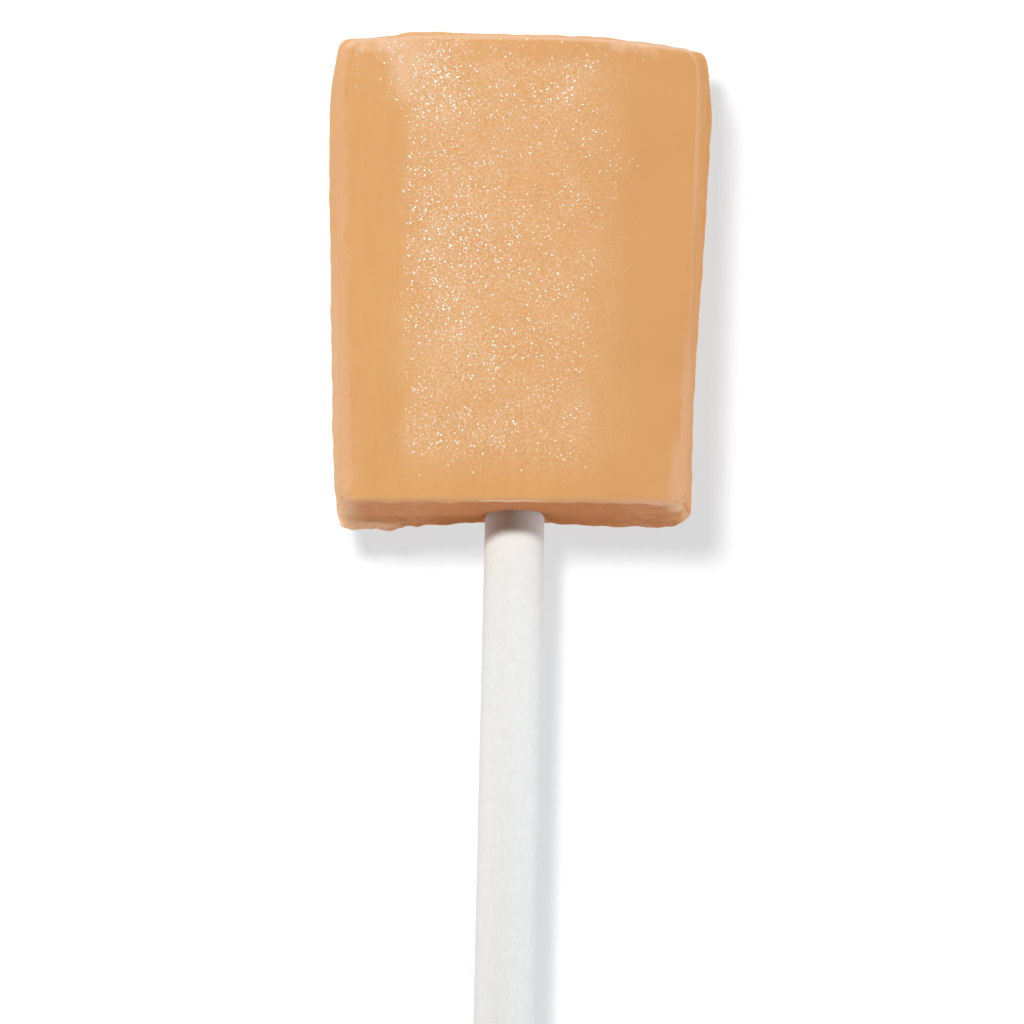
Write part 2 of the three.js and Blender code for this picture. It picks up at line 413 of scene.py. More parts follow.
def fold(points, start, end, width, rise):
    """A soft raised line across the bottom wall, with a furrow beside it."""
    x = points[:, 0]
    height = points[:, 2] - MID
    along = np.array(end, float) - np.array(start, float)
    length = np.linalg.norm(along)
    along /= length
    offset_x = x - start[0]
    offset_h = height - start[1]
    travelled = offset_x * along[0] + offset_h * along[1]
    across = offset_x * along[1] - offset_h * along[0]
    ends = smooth_step(-0.5, 0.4, travelled) * smooth_step(length + 0.5, length - 0.4, travelled)
    crease = np.exp(-(across / width)**2) - 0.8 * np.exp(-((across - 1.6 * width) / width)**2)
    return rise * ends * crease


def wall_relief(points, bottom):
    """The walls' flow lines and lumps, and the torn edge round the rib."""
    height = points[:, 2] - MID
    lumps = (LUMP_DEPTH + BOTTOM_LUMP_DEPTH * bottom) * noise_at(points, LUMP_SIZE, 12.4)
    crags = CRAG_DEPTH * (ridges_at(points, CRAG_SIZE, 2.6) - 0.55)
    crags += CRUMB_DEPTH * noise_at(points, CRUMB_SIZE, 6.3)
    crags *= crag_strength(points) * np.exp(-(height / CRAG_HALF_HEIGHT)**2)
    return layered_noise(points, WALL_FLOW) + lumps + crags


def bottom_relief(points):
    """The bottom wall's folds, the fin of squeezed-out candy at its left, and the hollow round the stick."""
    x, y = points[:, 0], points[:, 1]
    height = points[:, 2] - MID
    fin = 0.1 * np.exp(-(height / 0.5)**2) - 0.08 * np.exp(-((height - 1.35) / 0.5)**2) - 0.03
    folds = sum(fold(points, *line) for line in FOLDS)
    beside = np.maximum(stick_distance(points) - STICK_RADIUS, 0)
    recess = RECESS_DEPTH * np.exp(-(beside / RECESS_WIDTH)**2) * smooth_step(-17.5, -18.2, y)
    return fin * smooth_step(-5.5, -8, x) + folds - recess


def face_relief(points):
    """The front face's slow swell, its dimple and its step."""
    x, y = points[:, 0], points[:, 1]
    from_dimple = np.hypot(x - DIMPLE_PLACE[0], y - DIMPLE_PLACE[1])
    dimple = DIMPLE_DEPTH * np.exp(-(from_dimple / DIMPLE_RADIUS)**2)
    step = STEP_DEPTH * np.exp(-((y - STEP_Y) / STEP_WIDTH)**2)
    step *= smooth_step(-1.6, -0.9, x) * smooth_step(7, 6.2, x)
    return layered_noise(points, FACE_SWELL) - dimple - step


def candy_relief(points, normals):
    """How far each point of the candy moves out along its normal."""
    face = smooth_step(0.75, 0.97, np.abs(normals[:, 2]))
    wall = 1 - face
    bottom = smooth_step(-0.3, -0.7, normals[:, 1]) * wall
    front = face * (points[:, 2] > MID)
    return front * face_relief(points) + wall * wall_relief(points, bottom) + bottom * bottom_relief(points)


def candy(material):
    """The block of hard candy, with its relief."""
    points, faces = closed_tube(candy_rings())
    piece = mesh_object("candy_block", points, faces, material)
    normals = mesh_normals(piece)
    move_out(piece, points, normals, candy_relief(points, normals))
    return piece


# The sparkles in the front face: small domes whose pale colour is painted glint, thickest in the band of
# painted sheen

# Where the sparkles lie thicker and are larger, each as x, y, half-width, half-height, turn in degrees and
# strength
BRIGHT_CLUSTERS = [
    (-6.2, 14.3, 2.1, 3.2, 0, 1.0),
    (-1.0, 14.4, 1.5, 2.0, 0, 0.5),
    (3.1, 14.2, 1.1, 3.0, -42, 1.0),
    (-8.4, 5.9, 1.3, 1.7, 0, 0.6),
    (-5.6, 2.3, 3.2, 3.6, 0, 1.0),
    (1.6, -0.8, 2.2, 1.4, 0, 0.5),
    (-5.5, -2.9, 1.3, 1.3, 0, 0.6),
    (-3.0, -6.5, 2.0, 2.2, 0, 0.7),
    (0.9, -5.3, 1.4, 1.6, 0, 0.5),
    (-4.9, -12.7, 2.6, 1.2, 0, 0.6),
    (-1.3, -12.5, 1.6, 1.4, 0, 0.4),
]
# Where fewer lie, in the same form
SPARSE_PLACES = [
    (1.1, 7.7, 2.6, 1.9, 0, 0.6),
    (4.0, 2.7, 1.4, 1.2, 0, 0.6),
    (-4.9, -10.1, 1.6, 1.7, 0, 0.8),
    (-3.1, 17.6, 1.6, 0.8, 0, 0.6),
    (2.9, 17.6, 2.4, 1.0, 0, 0.8),
]
# Faint specks outside the band, in the same form
FAINT_CLUSTERS = [
    (8.2, 17.1, 2.6, 0.45, 0, 0.4),
    (-12.6, 15.9, 0.9, 2.0, 0, 1.0),
]
# Single glints in the bottom wall, each as x, z and radius
GLINTS = [
    (12.3, 12.9, 0.09),
    (12.55, 12.3, 0.13),
    (12.85, 12.7, 0.11),
    (13.1, 12.0, 0.09),
    (13.45, 8.9, 0.1),
    (13.3, 8.1, 0.08),
    (8.8, 10.4, 0.07),
]
GLINT_START = -40  # y from which the glints are set into the wall
# The field in x and y where sparkles are tried, their number, and the density at which every try is kept
FIELD_X = (-13.8, 11.4)
FIELD_Y = (-17.4, 18.6)
SPARKLE_TRIES = 40000
FULL_DENSITY = 1.9
SPARKLE_GAP = 0.18
SPARKLE_RADIUS = 0.03
LARGEST_RADIUS = 0.1
BRIGHT_RADIUS = 0.06  # sparkles larger than this are whiter
FLAT_ENOUGH = 0.8  # least upward part of the face's normal under a sparkle
GRAIN_SIDES = 6
GRAIN_RISE = 0.25  # shares of a grain's radius that its tip stands out and its rim is sunk
GRAIN_SINK = 0.1
SEED = 7


def clusters_at(x, y, clusters):
    """The summed strength of round clusters at each place."""
    thick = np.zeros_like(x)
    for cx, cy, half_x, half_y, turn, strength in clusters:
        a = math.radians(turn)
        u = ((x - cx) * math.cos(a) + (y - cy) * math.sin(a)) / half_x
        v = (-(x - cx) * math.sin(a) + (y - cy) * math.cos(a)) / half_y
        thick += strength * np.exp(-(u * u + v * v))
    return thick


def sparkle_density(x, y, clusters):
    """How thickly the sparkles lie at each place of the front face."""
    flat = np.stack([x, y, 0 * x], 1)
    patches = noise_at(flat, (1.3, 1.6, 1), 4.4)
    shifted = x + 0.35 * noise_at(flat, (1.5, 1.5, 1), 9.1)
    left_edge = -9.35 - 1.5 * smooth_step(11.5, 14.5, y) + 0.3 * smooth_step(-4, -7, y)
    right_edge = 5.8 + 3.1 * np.exp(-((y - 8) / 6)**2)
    band = smooth_step(-0.25, 0.5, shifted - left_edge) * smooth_step(0.6, -1.4, shifted - right_edge)
    ends = smooth_step(-17.6, -12.6, y)
    evenly = 0.72 + 0.4 * clusters - clusters_at(x, y, SPARSE_PLACES)
    strength = np.maximum(evenly, 0) * band * ends + clusters_at(x, y, FAINT_CLUSTERS)
    return strength * np.clip(1 + 0.9 * patches, 0.2, 1.6)


def sparkle_places(rng):
    """Places and radii of the sparkles, drawn by the density and kept apart from each other."""
    x = rng.uniform(*FIELD_X, SPARKLE_TRIES)
    y = rng.uniform(*FIELD_Y, SPARKLE_TRIES)
    density = sparkle_density(x, y, clusters_at(x, y, BRIGHT_CLUSTERS))
    kept = rng.uniform(0, FULL_DENSITY, SPARKLE_TRIES) < density
    places = []
    taken = set()
    for px, py in zip(x[kept].tolist(), y[kept].tolist()):
        cell = (round(px / SPARKLE_GAP), round(py / SPARKLE_GAP))
        if cell not in taken:
            taken.add(cell)
            places.append((px, py))
    x, y = np.array(places).T
    outside = np.maximum(smooth_step(-10.5, -12, x), smooth_step(5, 8, x))
    scale = (1 + 0.4 * clusters_at(x, y, BRIGHT_CLUSTERS)) * (1 - 0.3 * outside)
    radius = SPARKLE_RADIUS * scale * rng.uniform(0.01, 1, len(x))**-0.4
    return x, y, np.minimum(radius, LARGEST_RADIUS * scale)


def flat_domes(places, normals, radii):
    """Points and faces of many small domes, their rims just below the surface."""
    angles = np.arange(GRAIN_SIDES) * 2 * np.pi / GRAIN_SIDES
    points = []
    faces = []
    for place, normal, radius in zip(places, normals, radii):
        turn = Vector((0, 0, 1)).rotation_difference(normal).to_matrix()
        start = len(points)
        for a in angles:
            points.append(place + turn @ Vector((math.cos(a), math.sin(a), -GRAIN_SINK)) * radius)
        points.append(place + turn @ Vector((0, 0, GRAIN_RISE)) * radius)
        for k in range(GRAIN_SIDES):
            faces.append((start + k, start + (k + 1) % GRAIN_SIDES, start + GRAIN_SIDES))
    return np.array([tuple(p) for p in points]), faces


def sparkle_rays():
    """The start, direction and radius of each sparkle: down onto the face, or along y at the bottom wall."""
    down = Vector((0, 0, -1))
    along = Vector((0, 1, 0))
    x, y, radius = sparkle_places(np.random.default_rng(SEED))
    rays = []
    for px, py, r in zip(x.tolist(), y.tolist(), radius.tolist()):
        rays.append((Vector((px, py, 2 * THICKNESS)), down, r))
    for px, pz, r in GLINTS:
        rays.append((Vector((px, GLINT_START, pz)), along, r))
    return rays


def sparkles(block, materials):
    """Tiny grains set in the front face and a few in the bottom wall, pale as painted glints, the larger ones
    whiter.
    """
    tree = BVHTree.FromObject(block, bpy.context.evaluated_depsgraph_get())
    found = {name: ([], [], []) for name in materials}
    for start, direction, r in sparkle_rays():
        hit, normal, _, _ = tree.ray_cast(start * MM, direction)
        if hit is None or (direction.z < 0 and normal.z < FLAT_ENOUGH):
            continue
        name = "bright_grains" if r > BRIGHT_RADIUS else "fine_grains"
        places, normals, radii = found[name]
        places.append(hit / MM)
        normals.append(normal)
        radii.append(r)
    pieces = []
    for name, (places, normals, radii) in found.items():
        points, faces = flat_domes(places, normals, radii)
        pieces.append(mesh_object(name, points, faces, materials[name]))
    return pieces


# The stick

STICK_AROUND = 128
STICK_ALONG = 170
CHAMFER_RINGS = 5
PAPER_STEP = 0.07  # height of the step at the paper's outer edge
SEAM_ANGLE = math.radians(14)
END_RINGS = 44
# The groove between the turns of paper that shows in the stick's end
END_PITCH = 0.3
GROOVE_DEPTH = 0.05
GROOVE_WIDTH = 0.16  # as a share of the pitch
# Layers of noise, in the form that the candy's layers have
PAPER_UNEVENNESS = [
    (0.012, (1.6, 9, 1.6), 2.2),
    (0.002, (0.7, 2.5, 0.7), 7.7),
]


def stick_angles():
    """Angles round the stick, with two at the seam so that the paper's edge makes a step."""
    turn = np.linspace(0, 2 * np.pi, STICK_AROUND)
    return SEAM_ANGLE + turn, STICK_RADIUS + PAPER_STEP * (0.5 - turn / (2 * np.pi))


def stick_ring(y, shrink, angles, radii):
    """One ring of the stick at a place along it."""
    r = np.maximum(radii - shrink, 0)
    return np.stack([r * np.cos(angles), np.full_like(angles, y), MID + r * np.sin(angles)], 1)


def stick_end_rings(angles, radii):
    """Rings that close in over the stick's free end, with a groove that winds in along the rolled paper."""
    rings = []
    for k in range(1, END_RINGS):
        share = k / END_RINGS
        r = (radii - STICK_CHAMFER) * (1 - share)
        phase = (r / END_PITCH + angles / (2 * np.pi)) % 1
        groove = GROOVE_DEPTH * np.exp(-((phase - 0.5) / GROOVE_WIDTH)**2)
        y = STICK_TOP - STICK_LENGTH + groove
        rings.append(np.stack([r * np.cos(angles), y, MID + r * np.sin(angles)], 1))
    return rings


def lean_with_stick(points):
    """Turns points about the stick's mouth to its lean."""
    c, s = math.cos(-STICK_LEAN), math.sin(-STICK_LEAN)
    x, y = points[:, 0].copy(), points[:, 1] - STICK_MOUTH
    points[:, 0] = c * x - s * y
    points[:, 1] = s * x + c * y + STICK_MOUTH
    return points


def stick(material):
    """The rolled-paper stick."""
    angles, radii = stick_angles()
    low = STICK_TOP - STICK_LENGTH
    rings = [stick_ring(STICK_TOP, STICK_CHAMFER, angles, radii)]
    for y in np.linspace(STICK_TOP - STICK_CHAMFER, low + STICK_CHAMFER, STICK_ALONG):
        rings.append(stick_ring(y, 0, angles, radii))
    for k in range(1, CHAMFER_RINGS + 1):
        a = k / CHAMFER_RINGS * math.pi / 2
        y = low + STICK_CHAMFER * (1 - math.sin(a))
        rings.append(stick_ring(y, STICK_CHAMFER * (1 - math.cos(a)), angles, radii))
    rings += stick_end_rings(angles, radii)
    points, faces = closed_tube(rings)
    points = lean_with_stick(points)
    piece = mesh_object("paper_stick", points, faces, material)
    move_out(piece, points, mesh_normals(piece), layered_noise(points, PAPER_UNEVENNESS))
    return piece


# Materials

# Colours of the candy, its grains and the stick, as rrggbb
COLOURS = {
    "left_body": "daa267",
    "left_cloud": "dda76a",
    # painted shade: the right half of the body a little darker
    "right_body_shaded": "d59d65",
    "right_cloud_shaded": "d8a269",
    "streaks": "d69a5e",
    # painted sheen on the walls, the right wall darker as painted shade
    "left_wall": "e9b27e",
    "right_wall_shaded": "e8a66c",
    "lower_left_wall": "edbd92",
    "scuffs": "f3cfae",
    # the bottom wall's tone: partly its own redder candy, partly painted shade
    "wall_ends_red_and_shaded": "d8976a",
    "wall_middle_red_and_shaded": "cf8757",
    "drawn_streaks": "c5815a",
    # painted shade along the bottom wall's low edge
    "low_edge_shade": "a5663b",
    "chips": "f2c397",
    # painted sheen at the bottom corners; the squeezed-out ridge paler, partly as painted light
    "corners": "f2c6a0",
    "squeezed_out_and_lit": "f7caa4",
    # painted highlight on the lip, and a painted glint line
    "flat_lip": "dba680",
    "turned_lip": "f3bf9b",
    "lip_glint_line": "f4cfae",
    # painted sheen on the face's left and right edges
    "left_edge": "e5b491",
    "right_edge": "deb08d",
    # painted highlights on the right and top edges, and a painted glint
    "right_line_highlight": "eebe94",
    "top_edge_highlight": "eec6a8",
    # painted sheen down the front face, with its darker and paler grain
    "band_sheen": "e9bd92",
    "sheen_dark_specks": "d69857",
    "sheen_pale_specks": "f2d2b6",
    # grains pale as painted glints
    "bright_glint_grain": "fff1e4",
    "fine_glint_grain": "f2d3b5",
    "paper": "f0edea",
    "paper_fibres": "f4f2ef",
    "paper_spots": "ebe9e5",
}

# Painted highlights on the top edges, the last a painted glint on the right wall, and painted sheen on the
# front face, each as x, y, half-width, half-height, turn in degrees and strength
EDGE_HIGHLIGHT_SPOTS = [
    (-10.9, 18.2, 4.1, 1.9, 0, 0.85),
    (-8.9, 15.9, 2.9, 3.2, 0, 0.45),
    (8.6, 18.3, 5.6, 1.3, -7, 1.0),
    (14.37, 17.1, 0.35, 0.7, 0, 1.0),
]
# painted sheen on the front face
SHEEN_SPOTS = [
    (-9.2, 16.0, 3.0, 3.6, -10, 0.6),
    (-6.8, 13.6, 2.6, 4.5, 0, 0.2),
    (3.9, 14.3, 1.6, 3.2, -42, 0.3),
    (-6.2, 2.0, 3.4, 6.0, 0, 0.12),
    (4.0, 4.9, 3.0, 2.4, 30, 0.15),
    (-4.6, -6.2, 3.4, 3.8, 0, 0.15),
    (3.4, -10.4, 3.2, 2.6, 0, 0.12),
]
STIR = 1.4  # how unevenly the spots' outlines run


def tone(name):
    """One of the colours, as the shader's linear numbers."""
    code = COLOURS[name]
    values = [int(code[i:i + 2], 16) / 255 for i in (0, 2, 4)]
    return [v / 12.92 if v <= 0.04045 else ((v + 0.055) / 1.055)**2.4 for v in values] + [1]


class Nodes:
    """Short calls that add nodes to a material or a world."""

    def __init__(self, owner):
        self.tree = owner.node_tree

    def add(self, kind):
        """A new node of a kind."""
        return self.tree.nodes.new(kind)

    def link(self, value, socket):
        """Puts a number, a colour or another node's output into a socket."""
        if isinstance(value, bpy.types.NodeSocket):
            self.tree.links.new(value, socket)
        else:
            socket.default_value = value

    def scaled(self, vector, scale):
        """A place scaled along each axis."""
        node = self.add("ShaderNodeMapping")
        self.link(vector, node.inputs["Vector"])
        node.inputs["Scale"].default_value = scale
        return node.outputs["Vector"]

    def ramp(self, value, low, high, to_low=0.0, to_high=1.0):
        """A smooth rise of one value with another."""
        node = self.add("ShaderNodeMapRange")
        node.interpolation_type = "SMOOTHSTEP"
        self.link(value, node.inputs["Value"])
        for name, number in zip(("From Min", "From Max", "To Min", "To Max"), (low, high, to_low, to_high)):
            node.inputs[name].default_value = number
        return node.outputs["Result"]

    def math(self, operation, *values):
        """A sum, product or the like of values."""
        node = self.add("ShaderNodeMath")
        node.operation = operation
        for socket, value in zip(node.inputs, values):
            self.link(value, socket)
        return node.outputs["Value"]

    def vector_math(self, operation, *vectors):
        """A sum, product or the like of vectors."""
        node = self.add("ShaderNodeVectorMath")
        node.operation = operation
        for socket, vector in zip(node.inputs, vectors):
            self.link(vector, socket)
        return node.outputs["Vector"]

    def product(self, *values):
        """The product of several values."""
        result = values[0]
        for value in values[1:]:
            result = self.math("MULTIPLY", result, value)
        return result

    def blend(self, share, a, b):
        """A value between two others."""
        return self.math("ADD", a, self.product(share, self.math("SUBTRACT", b, a)))

    def mix(self, share, a, b):
        """A mix of two colours."""
        node = self.add("ShaderNodeMix")
        node.data_type = "RGBA"
        self.link(share, node.inputs["Factor"])
        self.link(a, node.inputs[6])
        self.link(b, node.inputs[7])
        return node.outputs[2]

    def split(self, vector):
        """The three numbers of a vector."""
        node = self.add("ShaderNodeSeparateXYZ")
        self.link(vector, node.inputs["Vector"])
        return node.outputs["X"], node.outputs["Y"], node.outputs["Z"]


class Material(Nodes):
    """A new material with one main shader, and places given in millimetres."""

    def __init__(self, name):
        self.material = bpy.data.materials.new(name)
        self.material.use_nodes = True
        super().__init__(self.material)
        self.shader = self.tree.nodes["Principled BSDF"]
        coordinates = self.add("ShaderNodeTexCoord")
        self.place = self.scaled(coordinates.outputs["Object"], (1 / MM, 1 / MM, 1 / MM))
        self.x, self.y, self.z = self.split(self.place)
        self.upward = self.split(coordinates.outputs["Normal"])[2]
        self.ragged = self.math("ADD", self.upward, self.ramp(self.noise(1.2, 3), 0.3, 0.7, -0.003, 0.003))
        stir = self.noise(1.3, 3).node.outputs["Color"]
        self.stir = self.vector_math("SUBTRACT", stir, (0.5, 0.5, 0.5))

    def noise(self, size, detail=2.0, stretch=(1, 1, 1), roughness=0.5):
        """Noise with features of a size in millimetres, longer along an axis by its stretch."""
        node = self.add("ShaderNodeTexNoise")
        scale = tuple(1 / (size * s) for s in stretch)
        self.link(self.scaled(self.place, scale), node.inputs["Vector"])
        node.inputs["Scale"].default_value = 1
        node.inputs["Detail"].default_value = detail
        node.inputs["Roughness"].default_value = roughness
        return node.outputs["Fac"]

    def spot(self, x, y, half_x, half_y, turn):
        """A soft round spot of 1 in its middle, seen from above, turned by some degrees, its edge uneven."""
        node = self.add("ShaderNodeMapping")
        node.vector_type = "TEXTURE"
        self.link(self.place, node.inputs["Vector"])
        node.inputs["Location"].default_value = (x, y, 0)
        node.inputs["Rotation"].default_value = (0, 0, math.radians(turn))
        node.inputs["Scale"].default_value = (half_x, half_y, 1e5)
        fade = self.add("ShaderNodeTexGradient")
        fade.gradient_type = "SPHERICAL"
        stirred = self.vector_math("MULTIPLY_ADD", self.stir, (STIR, STIR, 0), node.outputs["Vector"])
        self.link(stirred, fade.inputs["Vector"])
        return self.ramp(fade.outputs["Fac"], 0, 1)

    def bump(self, height, depth):
        """Sets the shader's normal from a height between 0 and 1 times a depth in millimetres."""
        node = self.add("ShaderNodeBump")
        node.inputs["Distance"].default_value = depth * MM
        self.link(height, node.inputs["Height"])
        self.link(node.outputs["Normal"], self.shader.inputs["Normal"])

    def set(self, name, value):
        """Sets one input of the shader."""
        self.link(value, self.shader.inputs[name])


def grit(nodes):
    """Fine grit, between 0.6 and 1."""
    return nodes.ramp(nodes.noise(0.5, 3, (1, 1, 0.6)), 0.3, 0.7, 0.6, 1)


def with_spots(nodes, share, spots, operation):
    """A share joined with spots in the candy's front half, as their sum or as the largest."""
    in_front = nodes.ramp(nodes.z, 9.5, 12)
    for *place, strength in spots:
        share = nodes.math(operation, share, nodes.product(nodes.spot(*place), in_front, strength))
    return share


def plain_body(nodes):
    """The candy's orange brown, with slow clouds and faint streaks up the face, its right half painted a
    little darker as shade.
    """
    cloud = nodes.ramp(nodes.noise(6, 2), 0.25, 0.75)
    streaks = nodes.ramp(nodes.noise(0.8, 3, (1, 9, 0.7)), 0.3, 0.7)
    left = nodes.mix(cloud, tone("left_body"), tone("left_cloud"))
    right = nodes.mix(cloud, tone("right_body_shaded"), tone("right_cloud_shaded"))
    # painted shade: the right half of the face a little darker
    colour = nodes.mix(nodes.ramp(nodes.x, 1, 9), left, right)
    return nodes.mix(nodes.product(streaks, 0.3), colour, tone("streaks"))


def walls_with_painted_sheen(nodes, colour):
    """Walls painted paler and pinker as sheen, most at the lower left, the right wall darker as painted
    shade, with light scuffs that run along them.
    """
    x, y, z = nodes.x, nodes.y, nodes.z
    # painted light: the left wall paler as sheen, the right wall darker as shade
    wall_sheen = nodes.mix(nodes.ramp(x, 0, 12), tone("left_wall"), tone("right_wall_shaded"))
    lower_left = nodes.product(nodes.ramp(y, 5, -6), nodes.ramp(x, 5, -5))
    wall_sheen = nodes.mix(lower_left, wall_sheen, tone("lower_left_wall"))
    colour = nodes.mix(nodes.product(nodes.ramp(z, 13.65, 12.9), grit(nodes)), colour, wall_sheen)
    scuffs = nodes.ramp(nodes.noise(0.3, 3, (1, 6, 1)), 0.55, 0.75)
    scuffs = nodes.product(scuffs, nodes.ramp(z, 13.6, 12.8), nodes.ramp(y, -18, -16), 0.5)
    return nodes.mix(scuffs, colour, tone("scuffs"))


def bottom_wall(nodes):
    """Where the bottom wall is, as a share between 0 and 1."""
    turned = nodes.math("MAXIMUM", nodes.ramp(nodes.upward, 0.5, 0.1), nodes.ramp(nodes.z, 13.6, 12.8))
    off_left_end = nodes.ramp(nodes.x, -14.3, -12.8, 0.3, 1)
    return nodes.product(turned, nodes.ramp(nodes.y, -18.15, -18.4), off_left_end)


def drawn_wall(nodes, colour, wall):
    """The bottom wall, redder and darker partly in its own tone and partly as painted shade, drawn out in
    streaks, with painted shade along its low edge and pale chips at its right.
    """
    x, z = nodes.x, nodes.z
    middle = nodes.product(nodes.ramp(x, -9, -2), nodes.ramp(x, 10.5, 7))
    # partly the candy's own redder tone, partly painted shade
    warm = nodes.mix(middle, tone("wall_ends_red_and_shaded"), tone("wall_middle_red_and_shaded"))
    drawn = nodes.ramp(nodes.noise(0.3, 3, (4, 1, 2.2)), 0.3, 0.7, 0, 0.7)
    colour = nodes.mix(nodes.product(wall, 0.95), colour, nodes.mix(drawn, warm, tone("drawn_streaks")))
    # painted shade: darker towards the low edge, away from the light
    from_left = nodes.product(nodes.ramp(x, -8, -5), nodes.ramp(x, 0, 8, 0.65, 0.1))
    low_edge_shade = nodes.product(wall, nodes.ramp(z, 9.2, 7.4), from_left)
    colour = nodes.mix(low_edge_shade, colour, tone("low_edge_shade"))
    chips = nodes.ramp(nodes.noise(0.28, 3, (1.8, 1, 0.8)), 0.6, 0.7)
    chips = nodes.product(wall, chips, nodes.ramp(z, 12.6, 11), nodes.ramp(x, 6, 11, 0.1, 1), 0.5)
    return nodes.mix(chips, colour, tone("chips"))


def bottom_corners(nodes, colour, wall):
    """The bottom wall's corners, painted paler as sheen, and the candy squeezed out at its left,
    paler partly in its broken candy and partly as painted light where its ridge faces up.
    """
    x, y, z = nodes.x, nodes.y, nodes.z
    # painted sheen: both corners paler
    right = nodes.product(nodes.ramp(x, 11.6, 12.7), nodes.ramp(z, 10, 11.5))
    right = nodes.math("MAXIMUM", right, nodes.ramp(x, 12.8, 13.5, 0, 0.6))
    left = nodes.ramp(x, -11.7, -13.7, 0, 0.9)
    corners = nodes.product(nodes.math("MAXIMUM", right, left), nodes.ramp(y, -18.3, -18.6), 0.75)
    colour = nodes.mix(corners, colour, tone("corners"))
    # the squeezed-out ridge paler, partly its broken candy, partly painted light where it faces up
    lobe = nodes.product(nodes.ramp(y, -19.5, -19.9), nodes.ramp(x, -8, -10.5))
    squeezed = nodes.product(wall, lobe, grit(nodes), 0.85)
    return nodes.mix(squeezed, colour, tone("squeezed_out_and_lit"))


def lip_highlight(nodes, colour):
    """A painted highlight on the lip along the face's lower edge, widest at its right and paler where the lip
    turns down, with a painted glint line over the stick.
    """
    x, upward = nodes.x, nodes.upward
    at_edge = nodes.product(nodes.ramp(nodes.y, -18.0, -18.2), nodes.ramp(nodes.z, 12.4, 13.0))
    lip = nodes.product(at_edge, nodes.ramp(nodes.ragged, 0.9993, 0.97), nodes.ramp(upward, 0.05, 0.35))
    lip = nodes.product(lip, nodes.ramp(x, 5, 11, 0.4, 0.95))
    # painted highlight, paler where the lip turns down
    lip_colour = nodes.mix(nodes.ramp(upward, 0.95, 0.5), tone("flat_lip"), tone("turned_lip"))
    colour = nodes.mix(lip, colour, lip_colour)
    # a painted glint line over the stick
    line = nodes.product(at_edge, nodes.ramp(upward, 0.8, 0.65), nodes.ramp(upward, 0.3, 0.45))
    line = nodes.product(line, nodes.ramp(x, -3.2, -2.2), nodes.ramp(x, 3.0, 0.5), 0.75)
    return nodes.mix(line, colour, tone("lip_glint_line"))


def side_edges(nodes, colour, at_rim):
    """Painted sheen on the face's left and right edges, paler and pinker, broadest low down."""
    x, y = nodes.x, nodes.y
    low_down = nodes.ramp(y, 0, -12)
    above_lip = nodes.ramp(y, -18.4, -18.1)
    gentle = nodes.ramp(nodes.ragged, 0.9996, 0.88)
    firm = nodes.ramp(nodes.ragged, 0.9998, 0.99)
    # painted sheen where the edges round over
    beside = nodes.product(nodes.blend(low_down, gentle, firm), nodes.ramp(nodes.z, 11.6, 12.9), above_lip)
    left = nodes.product(beside, nodes.ramp(x, -12, -12.6), nodes.ramp(low_down, 0, 1, 0.4, 0.55))
    uneven = nodes.ramp(nodes.noise(1.2, 3), 0.3, 0.7, -0.2, 0.2)
    inwards = nodes.math("ADD", x, nodes.math("ADD", nodes.product(y, 0.032), uneven))
    left_band = nodes.product(nodes.ramp(inwards, -13.3, -13.8), above_lip, at_rim, 0.4)
    colour = nodes.mix(nodes.math("MAXIMUM", left, left_band), colour, tone("left_edge"))
    right = nodes.product(beside, nodes.ramp(x, 12, 12.6), nodes.ramp(low_down, 0, 1, 0.3, 0.6))
    right_band = nodes.product(nodes.ramp(x, 11.9, 12.6), nodes.ramp(y, -12, -15.5), above_lip, at_rim, 0.6)
    return nodes.mix(nodes.math("MAXIMUM", right, right_band), colour, tone("right_edge"))


def upper_edges(nodes, colour, at_rim):
    """Painted highlights: the pale line down the right edge's upper half, the pale top edge, and pale spots
    on the top edges, one of them a painted glint on the right wall.
    """
    y, z = nodes.y, nodes.z
    # painted highlight down the right edge's upper half
    line = nodes.product(nodes.ramp(nodes.x, 12.8, 13.4), nodes.ramp(y, 2, 8), nodes.ramp(z, 13.2, 13.5))
    line = nodes.product(line, nodes.ramp(nodes.ragged, 0.9996, 0.9))
    line = nodes.product(line, nodes.ramp(nodes.upward, 0.5, 0.9, 0.42, 0.25))
    colour = nodes.mix(line, colour, tone("right_line_highlight"))
    # painted highlight along the top edge and at its spots
    top = nodes.product(nodes.ramp(y, 17.2, 17.7), nodes.ramp(nodes.ragged, 0.999, 0.75, 0, 0.7), at_rim)
    return nodes.mix(with_spots(nodes, top, EDGE_HIGHLIGHT_SPOTS, "MAXIMUM"), colour, tone("top_edge_highlight"))


